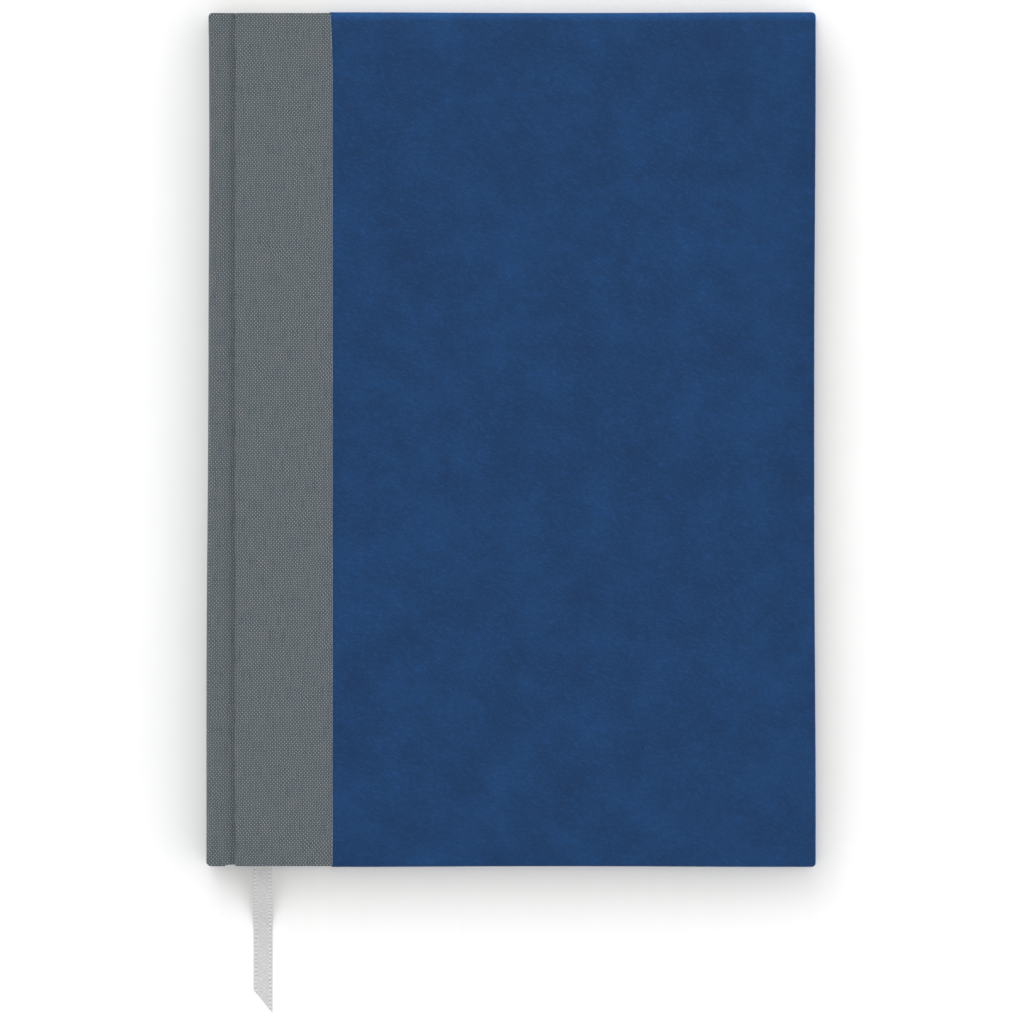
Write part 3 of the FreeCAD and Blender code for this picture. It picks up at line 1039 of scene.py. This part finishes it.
@dataclass
class Cover:
    """One board of the case, covered and lined, with the cloth of its groove."""

    side: Side
    turn_in: float = 15 * MM
    board_round: float = 1.0 * MM
    cloth_round: float = 0.55 * MM
    leatherette_thickness: float = 0.5 * MM
    cloth_thickness: float = 0.3 * MM
    paper_thickness: float = 0.15 * MM
    waist: float = 0.35 * MM
    fore_edge_reach: float = 75 * MM
    end_reach: float = 50 * MM
    skive: float = 0.32 * MM
    head_flare: float = 0.45 * MM
    flare_reach: float = 14 * MM
    tail_rise: float = 0.4 * MM
    groove_low: float = 1.65 * MM
    groove_step: float = 0.45 * MM
    groove_points: int = 12
    shoulder_reach: float = 1.9 * MM
    fall_curve: float = 1.35
    split: float = 2.1 * MM
    fold_inset: float = 0.1 * MM
    paper_bend: float = 1.5 * MM
    paper_sink: float = 0.28 * MM
    paper_fade: float = 0.8 * MM

    def build(self) -> None:
        """Makes the cover's pieces."""
        self.leatherette()
        self.cloth()
        self.joint()
        self.pastedown()
        self.flyleaf()
        refinish(self.side.node("board"), GREYBOARD)
        refinish(self.side.node("mull_flap"), MULL)

    def leatherette(self) -> None:
        """Draws the leatherette over the board and turns it in on three sides."""
        node = self.side.node("leatherette")
        low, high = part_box(node)
        outer, _ = self.side.faces(low, high)
        inward = -self.side.value
        inner_x, inner_y = high.x - self.turn_in, high.y - self.turn_in
        wrap = wrapped(
            self.side.node("cover_leatherette"),
            low,
            high,
            lambda middle, normal: normal.x < -FACING
            or (normal.z * inward > FACING and middle.x < inner_x and abs(middle.y) < inner_y),
            self.board_round,
            self.turn_in,
        )
        wrap.coax(
            lambda place, normal: place.x > high.x - EDGE and abs(place.y) < 20 * MM,
            (-self.waist, 0, 0),
            self.fore_edge_reach,
        )
        for head in (1, -1):
            wrap.coax(
                lambda place, normal: head * place.y > high.y - EDGE and 0 < place.x < 25 * MM,
                (0, -head * self.waist / 2, 0),
                self.end_reach,
            )
        wrap.coax(
            lambda place, normal: place.x < low.x + EDGE and place.y > high.y - 0.5 * MM,
            (-self.head_flare, 0, 0),
            self.flare_reach,
        )
        wrap.ripple(38 * MM, 0.10 * MM)
        wrap.dress(LEATHERETTE, CUT_EDGE)
        wrap.thicken(self.leatherette_thickness, offset=-1.0, rim_slot=1)
        wrap.shift(
            Kind.CORNER,
            lambda place, normal: place.x < low.x + 0.05 * MM and abs(place.z - outer) < 0.2 * MM,
            (self.skive, 0, 0),
        )
        wrap.smooth()
        wrap.ride(self.side.node("cover"), "leatherette", node)

    def cloth(self) -> None:
        """Draws the cloth over the board's hinge side and turns it in at head and tail."""
        node = self.side.node("cloth")
        low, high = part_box(node)
        inward = -self.side.value
        inner_y = high.y - self.turn_in
        under = Vector((0.2 * MM, 0, 0))  # it goes on a little way under the leatherette
        wrap = wrapped(
            self.side.node("cover_cloth"),
            low,
            high + under,
            lambda middle, normal: normal.x > FACING
            or (normal.z * inward > FACING and abs(middle.y) < inner_y),
            self.cloth_round,
            self.turn_in,
        )
        wrap.make_up(self.cloth_thickness, CLOTH, offset=-1.0, degrees=40)
        wrap.ride(self.side.node("cover"), "bookcloth", node)

    def joint(self) -> None:
        """Makes the groove: a strip of cloth over the shoulder and one down into the groove, to the cover."""
        node = self.side.node("joint_cloth")
        low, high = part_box(self.side.node("cloth"))
        spine_low, spine_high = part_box("spine_cloth")
        pivot_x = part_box(node)[0].x
        out = self.side.value
        board_top, _ = self.side.faces(low, high)
        shoulder_top, _ = self.side.faces(spine_low, spine_high)
        bottom = board_top - out * self.groove_low
        edge = low.x - self.groove_step
        start = spine_low.x + self.shoulder_reach
        level = shoulder_top - out * self.cloth_thickness / 2
        fall = level - bottom
        steps = self.groove_points
        line = [
            (start + (edge - start) * index / steps, level - fall * (index / steps) ** self.fall_curve)
            for index in range(steps + 1)
        ]
        split = round(steps * (pivot_x + self.split - start) / (edge - start))
        meet = line[split][0]
        end = (low.x + 0.05 * MM, bottom + out * 0.25 * MM)
        cover = self.side.node("cover")
        strips = (
            ("shoulder", line[: split + 1], ("spine", self.side.pages), (start, meet), ()),
            ("groove", [*line[split:], end], (self.side.pages, cover), (meet, edge), (node,)),
        )
        for word, profile, bodies, reach, nodes in strips:
            strip = Piece.run(self.side.node(f"{word}_cloth"), profile, low.y, high.y)
            strip.cut(Axis.Y, spaced(low.y, high.y, CLOTH_STEP))
            if word == "groove":
                strip.coax(
                    lambda place, normal: place.y < EDGE - high.y and abs(place.x - edge) < 0.3 * MM,
                    (0, self.tail_rise, 0),
                    4 * MM,
                )
            strip.make_up(self.cloth_thickness, CLOTH)
            strip.bend(bodies, (reach[0], 0, level), (reach[1], 0, level), "bookcloth", *nodes)

    def root(self) -> float:
        """Where the endpaper's fold lies along X."""
        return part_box("section_01")[0].x + self.fold_inset

    def flyleaf_level(self) -> float:
        """The height of the flyleaf's middle."""
        low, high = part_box(self.side.node("flyleaf"))
        return (low.z + high.z) / 2

    def pastedown(self) -> None:
        """Lays the pasted half of the endpaper over the turn-ins, whose edges show through it."""
        node = self.side.node("pastedown")
        low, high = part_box(node)
        out = self.side.value
        root = self.root()
        _, shown = self.side.faces(low, high)
        level = shown + out * self.paper_thickness / 2
        leaf_level = self.flyleaf_level() + out * 0.06 * MM
        rise = [index / 8 for index in range(9)]
        profile = [
            (root + (low.x - root) * part, leaf_level + (level - leaf_level) * part**1.5) for part in rise
        ]
        sheet = Piece.run(self.side.node("pasted_endpaper"), [*profile, (high.x, level)], low.y, high.y)
        case_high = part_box(self.side.node("leatherette"))[1]
        inner_x, inner_y = case_high.x - self.turn_in, case_high.y - self.turn_in
        fade = self.paper_fade
        sheet.cut(Axis.X, [inner_x - fade, inner_x + fade, *spaced(low.x, inner_x, PAPER_STEP)])
        sheet.cut(Axis.Y, [-inner_y - fade, -inner_y + fade, inner_y - fade, inner_y + fade])
        sheet.cut(Axis.Y, spaced(-inner_y, inner_y, 14 * MM))
        sheet.shift(
            Kind.FACE,
            lambda middle, normal: low.x < middle.x < inner_x - fade and abs(middle.y) < inner_y - fade,
            (0, 0, out * self.paper_sink),
        )
        sheet.make_up(self.paper_thickness, ENDPAPER)
        bodies = (self.side.pages, self.side.node("cover"))
        sheet.bend(bodies, (root + self.paper_bend, 0, level), (low.x, 0, level), "endpaper", node)

    def flyleaf(self) -> None:
        """Makes the free half of the endpaper, from the fold."""
        node = self.side.node("flyleaf")
        low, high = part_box(node)
        root = self.root()
        level = self.flyleaf_level()
        turning = [(x, level) for x in (root, *spaced(root, low.x, 0.7 * MM), low.x)]
        flat = [(x, level) for x in (*spaced(low.x, high.x, PAPER_STEP), high.x)]
        sheet = Piece.run(self.side.node("free_endpaper"), turning + flat, low.y, high.y)
        sheet.cut(Axis.Y, spaced(low.y, high.y, PAPER_STEP))
        sheet.ripple(45 * MM, 0.12 * MM)
        sheet.make_up(self.paper_thickness, ENDPAPER)
        bodies = (self.side.pages, node)
        sheet.bend(bodies, (root + self.paper_bend, 0, level), (low.x, 0, level), "endpaper", node)


@dataclass
class Spine:
    """The flat spine: covered strip, linings, sewing and headbands."""

    turn_in: float = 15 * MM
    shoulder: float = 1.8 * MM
    cloth_thickness: float = 0.3 * MM
    end_round: float = 0.5 * MM
    corner_round: float = 1.2 * MM
    waver: tuple[Place, ...] = (
        (60 * MM, 0.79, 100 * MM),
        (80 * MM, 0.88, 45 * MM),
        (-5 * MM, 0.91, 60 * MM),
    )
    hold: float = 12 * MM
    band_radius: float = 0.8 * MM
    thread_radius: float = 0.24 * MM
    tape: float = 0.15 * MM
    tape_length: float = 12.5 * MM

    def build(self) -> None:
        """Makes the spine's pieces."""
        self.strip()
        self.cloth()
        self.band("headband", 1)
        self.band("tailband", -1)
        for node, finish in (("spine_liner", KRAFT), ("mull", MULL), ("sewing_thread", THREAD)):
            refinish(node, finish)

    def soften(self, piece: Piece, low: Vector, high: Vector, inset: float) -> None:
        """Rounds the corners and the shoulders of a piece's back.

        Args:
            piece: The strip, or the cloth round it.
            low: Its lowest corner.
            high: Its highest corner.
            inset: How far it lies inside the cloth's outer face.
        """
        piece.round_edges(
            lambda middle, along: middle.x < low.x + NEAR
            and abs(middle.y) > high.y - NEAR
            and abs(along.z) > FACING,
            self.corner_round,
            4,
        )
        piece.round_edges(
            lambda middle, along: middle.x < low.x + NEAR and abs(along.y) > FACING,
            self.shoulder - inset,
            6,
        )

    def sway(self, piece: Piece) -> None:
        """Lets the back of a piece waver a little along the spine, while its inner edge stays put.

        Args:
            piece: The strip, or the cloth round it.
        """
        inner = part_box("spine_cloth")[1].x
        for place_y, factor, reach in self.waver:
            piece.squeeze(lambda place, normal: abs(place.y - place_y) < self.hold, factor, inner, reach)

    def strip(self) -> None:
        """Cuts the spine's board strip, which follows the cloth's waver."""
        low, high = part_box("spine_board")
        board = Piece.block("spine_strip", low, high)
        board.cut(Axis.Y, spaced(low.y, high.y, CLOTH_STEP))
        self.soften(board, low, high, self.cloth_thickness)
        self.sway(board)
        board.smooth()
        board.dress(GREYBOARD)
        board.ride("spine", "grey_board", "spine_board")

    def cloth(self) -> None:
        """Draws the cloth round the spine strip, with soft shoulders and a slightly wavering back."""
        low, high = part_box("spine_cloth")
        inner_y = high.y - self.turn_in
        wrap = Piece.block("spine_wrap", low, high)
        wrap.cut(Axis.Y, [*spaced(low.y, high.y, CLOTH_STEP), low.y + self.turn_in, inner_y])
        wrap.remove(lambda middle, normal: normal.x > FACING and abs(middle.y) < inner_y)
        self.soften(wrap, low, high, 0.0)
        wrap.round_edges(
            lambda middle, along: abs(middle.y) > high.y - NEAR and abs(along.x) > FACING,
            self.end_round,
            3,
        )
        self.sway(wrap)
        wrap.make_up(self.cloth_thickness, CLOTH, offset=-1.0, degrees=40)
        wrap.ride("spine", "bookcloth", "spine_cloth")

    def band(self, node: str, head: int) -> None:
        """Winds one band: rings of thread in two colours over a core, sewn to a tape.

        Args:
            node: The frame's node that it stands for.
            head: 1 at the head and -1 at the tail.
        """
        low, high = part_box(node)
        outer_y = high.y if head > 0 else low.y
        radius = self.band_radius
        centre = Vector((high.x - radius, outer_y - head * radius, low.z + self.thread_radius))
        Piece.deselect()
        bpy.ops.mesh.primitive_torus_add(
            location=centre,
            major_radius=radius - self.thread_radius,
            minor_radius=self.thread_radius,
            major_segments=14,
            minor_segments=6,
        )
        ring = Piece.taken(f"{node}_windings", Vector((1, 1, 1)))
        count = int((high.z - low.z) / (2 * self.thread_radius))
        step = (high.z - low.z - 2 * self.thread_radius) / (count - 1)
        ring.dress(BAND_PALE, BAND_BLUE)
        twins = []
        for number in range(1, count):
            twin = ring.copy(f"{node}_turn_{number}", Vector((0, 0, step * number)))
            twin.use_slot(1 if number % 4 >= 2 else 0, lambda middle, normal: True)
            twins.append(twin)
        tape_x = low.x + self.tape / 2
        profile = [(tape_x, low.z), (tape_x + NEAR, (low.z + high.z) / 2), (tape_x, high.z)]
        ends = sorted((centre.y, centre.y - head * self.tape_length))
        tape = Piece.run(f"{node}_tape", profile, *ends)
        tape.thicken(self.tape)
        tape.dress(BAND_PALE)
        ring.join([*twins, tape])
        ring.smooth(50)
        ring.ride("spine", "headband", node)


@dataclass
class TextBlock:
    """Twelve sections of four folded sheets each."""

    sections: int = 12
    sheets: int = 4
    fill: float = 0.86
    bend_start: float = -66 * MM
    bend_end: float = -20 * MM
    uneven: float = 0.07 * MM
    seed: int = 7

    def build(self) -> None:
        """Makes one section and copies it to each section's place."""
        dice = random.Random(self.seed)
        low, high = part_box("section_07")
        ribbon_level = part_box("ribbon_inner")[0].z
        first = self.section(low, high, dice)
        for number in range(1, self.sections + 1):
            node = f"section_{number:02d}"
            here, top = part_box(node)
            jog = Vector((dice.uniform(-1, 0), dice.uniform(-1, 1), 0)) * self.uneven
            leaves = first.copy(f"leaves_of_{node}", here - low + jog)
            pages = Side.FRONT.pages if here.z > ribbon_level else Side.BACK.pages
            level = (here.z + top.z) / 2
            leaves.bend((pages, "spine"), (self.bend_start, 0, level), (low.x, 0, level), "leaves", node)
        bpy.data.objects.remove(first.obj)

    def section(self, low: Vector, high: Vector, dice: random.Random) -> Piece:
        """Folds the sheets of one section into each other.

        Args:
            low: The section's lowest corner.
            high: The section's highest corner.
            dice: The seeded source of small differences.

        Returns:
            The section, laid and dressed.
        """
        pitch = (high.z - low.z) / (2 * self.sheets)
        middle = (low.z + high.z) / 2
        fold_x = low.x + (high.z - low.z) / 2
        steps = (fold_x, *spaced(fold_x, self.bend_start, 0.8 * MM), self.bend_start)
        turns = [math.pi / 2 + math.pi * index / 4 for index in (1, 2, 3)]
        folded = []
        for number in range(self.sheets):
            radius = pitch * (self.sheets - 0.5 - number)
            end = high.x - dice.uniform(0, 1) * self.uneven
            profile = [
                (end, middle + radius),
                (self.bend_end, middle + radius),
                *[(x, middle + radius) for x in reversed(steps)],
                *[(fold_x + radius * math.cos(turn), middle + radius * math.sin(turn)) for turn in turns],
                *[(x, middle - radius) for x in steps],
                (self.bend_end, middle - radius),
                (end, middle - radius),
            ]
            sheet = Piece.run(f"sheet_{number}", profile, low.y, high.y)
            sheet.thicken(pitch * self.fill)
            tone = sheet.obj.data.attributes.new(LEAF_TONE, "FLOAT", "POINT")
            upper, lower = dice.uniform(0, 1), dice.uniform(0, 1)
            for corner, value in zip(sheet.obj.data.vertices, tone.data):
                value.value = upper if corner.co.z > middle else lower
            folded.append(sheet)
        whole = folded[0]
        whole.join(folded[1:])
        whole.smooth(50)
        whole.lay()
        whole.dress(LEAF_EDGE, RULED_LEAF)
        whole.use_slot(1, lambda centre, normal: abs(normal.z) > FACING)
        return whole


@dataclass
class MarkerRibbon:
    """The satin marker: flat between the leaves, then free over their tail edge and down to the table."""

    width: float = 4.7 * MM
    thickness: float = 0.2 * MM
    slant: float = 5.8 * MM
    drift: float = 2.6 * MM
    curl: float = 3 * MM
    length: float = 39.9 * MM
    route: tuple[Place, ...] = (
        (-0.0629, -0.1050, 0.0089),
        (-0.0629, -0.1118, 0.0089),
        (-0.0629, -0.12126, 0.0001),
        (-0.0629, -0.1280, 0.0001),
        (-0.0629, -0.1424, 0.0001),
    )
    finish: SatinRibbon = field(default_factory=lambda: SatinRibbon(middle=-0.0629))

    def build(self) -> None:
        """Makes the held stretch and the free end."""
        self.held()
        self.free()

    def line(self) -> list[Vector]:
        """Reads points from the smooth curve that the route controls.

        Returns:
            The points, from the leaves to the end.
        """
        curve = bpy.data.curves.new("marker_line", "CURVE")
        curve.dimensions = "3D"
        curve.resolution_u = 12
        spline = curve.splines.new("NURBS")
        spline.points.add(len(self.route) - 1)
        for point, place in zip(spline.points, self.route):
            point.co = (*place, 1.0)
        spline.order_u = 3
        spline.use_endpoint_u = True
        holder = bpy.data.objects.new("marker_line", curve)
        bpy.context.scene.collection.objects.link(holder)
        bpy.context.view_layer.update()
        mesh = bpy.data.meshes.new_from_object(holder.evaluated_get(bpy.context.evaluated_depsgraph_get()))
        points = [corner.co.copy() for corner in mesh.vertices]
        bpy.data.meshes.remove(mesh)
        bpy.data.objects.remove(holder)
        bpy.data.curves.remove(curve)
        return points

    def held(self) -> None:
        """Lays the ribbon between the two halves of the leaves."""
        low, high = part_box("ribbon_inner")
        level = (low.z + high.z) / 2
        middle = (low.x + high.x) / 2
        profile = [(middle + part * self.width, level) for part in (-0.5, -0.25, 0.0, 0.25, 0.5)]
        strip = Piece.run("marker_between_leaves", profile, low.y, high.y)
        strip.cut(Axis.Y, spaced(low.y, high.y, 6 * MM))
        strip.coax(lambda place, normal: place.y > high.y - EDGE, (-self.drift, 0, 0), 90 * MM)
        strip.make_up(self.thickness * 0.8, self.finish)
        strip.ride("rear_pages", "satin_ribbon", "ribbon_inner")

    def free(self) -> None:
        """Hangs the free end along the route and cuts it on a slant."""
        path = self.line()
        x = path[0].x
        half = self.width / 2
        first, second = path[:2]
        centre = (x, (first.y + second.y) / 2, first.z)
        ribbon = Piece.plane("marker_free_end", centre, self.width, first.y - second.y)
        beyond = path[-1] + Vector((0, -self.slant, 0))
        steps = [there - here for here, there in zip(path[1:], [*path[2:], beyond])]
        ribbon.draw_out(lambda middle, along: middle.y < second.y + TOUCH, second.z - first.z, steps)
        ribbon.cut(Axis.X, [x - half / 2, x, x + half / 2])
        tip = Vector((x + half, path[-1].y - self.slant / 2, 0))
        across = Vector((self.slant, self.width, 0)).normalized()
        with ribbon.editing():
            bpy.ops.mesh.select_all(action="SELECT")
            bpy.ops.mesh.bisect(plane_co=tip, plane_no=across, clear_inner=True)
        reach = [0.0]
        for here, there in zip(path, path[1:]):
            reach.append(reach[-1] + (there - here).length)

        def along(corner: Vector, normal: Vector) -> tuple[float, float]:
            """The place across the ribbon and the distance along it.

            Args:
                corner: The corner to place.
                normal: Its face's direction, which makes no difference here.

            Returns:
                The map's place, in metres.
            """
            for number in range(len(path) - 1):
                start, stop = path[number].y, path[number + 1].y
                if corner.y >= stop or number == len(path) - 2:
                    share = (start - corner.y) / (start - stop)
                    return corner.x, reach[number] + share * (reach[number + 1] - reach[number])
            return corner.x, reach[-1]

        ribbon.make_up(self.thickness, self.finish, place=along)
        fold_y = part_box("ribbon_fall")[0].y
        ribbon.bend(
            ("ribbon_fall", "ribbon_end"),
            (x, fold_y + self.curl, 0),
            (x, fold_y - self.curl, 0),
            "satin_ribbon",
            "ribbon_fall",
            "ribbon_end",
        )


@dataclass
class Studio:
    """A pale floor, soft light and a camera straight above."""

    centre: tuple[float, float] = (0.25 * MM, -18.3 * MM)
    view_height: float = 258.7 * MM
    lens: float = 600.0
    sensor: float = 36.0
    floor_size: float = 8.0
    floor_drop: float = 0.05 * MM
    softboxes: tuple[tuple[str, Place, float, float], ...] = (
        ("head_softbox", (-0.35, 0.75, 1.35), 1.1, 7.0),
        ("side_softbox", (0.75, -0.35, 1.30), 1.3, 3.2),
    )
    room_light: float = 0.90

    def build(self) -> None:
        """Sets up the floor, the lights and the camera."""
        floor = Piece.plane("studio_floor", (0, 0, -self.floor_drop), self.floor_size, self.floor_size)
        floor.dress(FLOOR)
        for softbox in self.softboxes:
            self.light(*softbox)
        world = bpy.data.worlds.new("white_room")
        world.use_nodes = True
        room = world.node_tree.nodes["Background"].inputs
        room["Color"].default_value = (1, 1, 1, 1)
        room["Strength"].default_value = self.room_light
        bpy.context.scene.world = world
        bpy.context.scene.view_settings.view_transform = "Standard"
        self.camera()
        log.info("studio: floor, %d softboxes and camera", len(self.softboxes))

    def light(self, name: str, place: Place, size: float, power: float) -> None:
        """Adds a square softbox that faces the book.

        Args:
            name: The softbox's name.
            place: Its middle.
            size: The length of its side.
            power: Its light in watts.
        """
        lamp = bpy.data.lights.new(name, "AREA")
        lamp.size = size
        lamp.energy = power
        holder = bpy.data.objects.new(name, lamp)
        holder.location = place
        holder.rotation_euler = (-Vector(place)).to_track_quat("-Z", "Y").to_euler()
        bpy.context.scene.collection.objects.link(holder)

    def camera(self) -> None:
        """Puts a long lens straight above, so that the book shows no sides."""
        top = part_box("front_leatherette")[1].z
        camera = bpy.data.cameras.new("copy_stand")
        camera.sensor_width = self.sensor
        camera.lens = self.lens
        camera.clip_end = 50.0
        holder = bpy.data.objects.new("copy_stand", camera)
        holder.location = (*self.centre, top + self.view_height * self.lens / self.sensor)
        bpy.context.scene.collection.objects.link(holder)
        bpy.context.scene.camera = holder


def main() -> None:
    """Builds the book's assemblies in order."""
    logging.basicConfig(level=logging.INFO, format="%(name)s: %(message)s")
    Studio().build()
    MarkerRibbon().build()
    for side in Side:
        Cover(side).build()
    Spine().build()
    TextBlock().build()


if __name__ == "__main__":
    main()
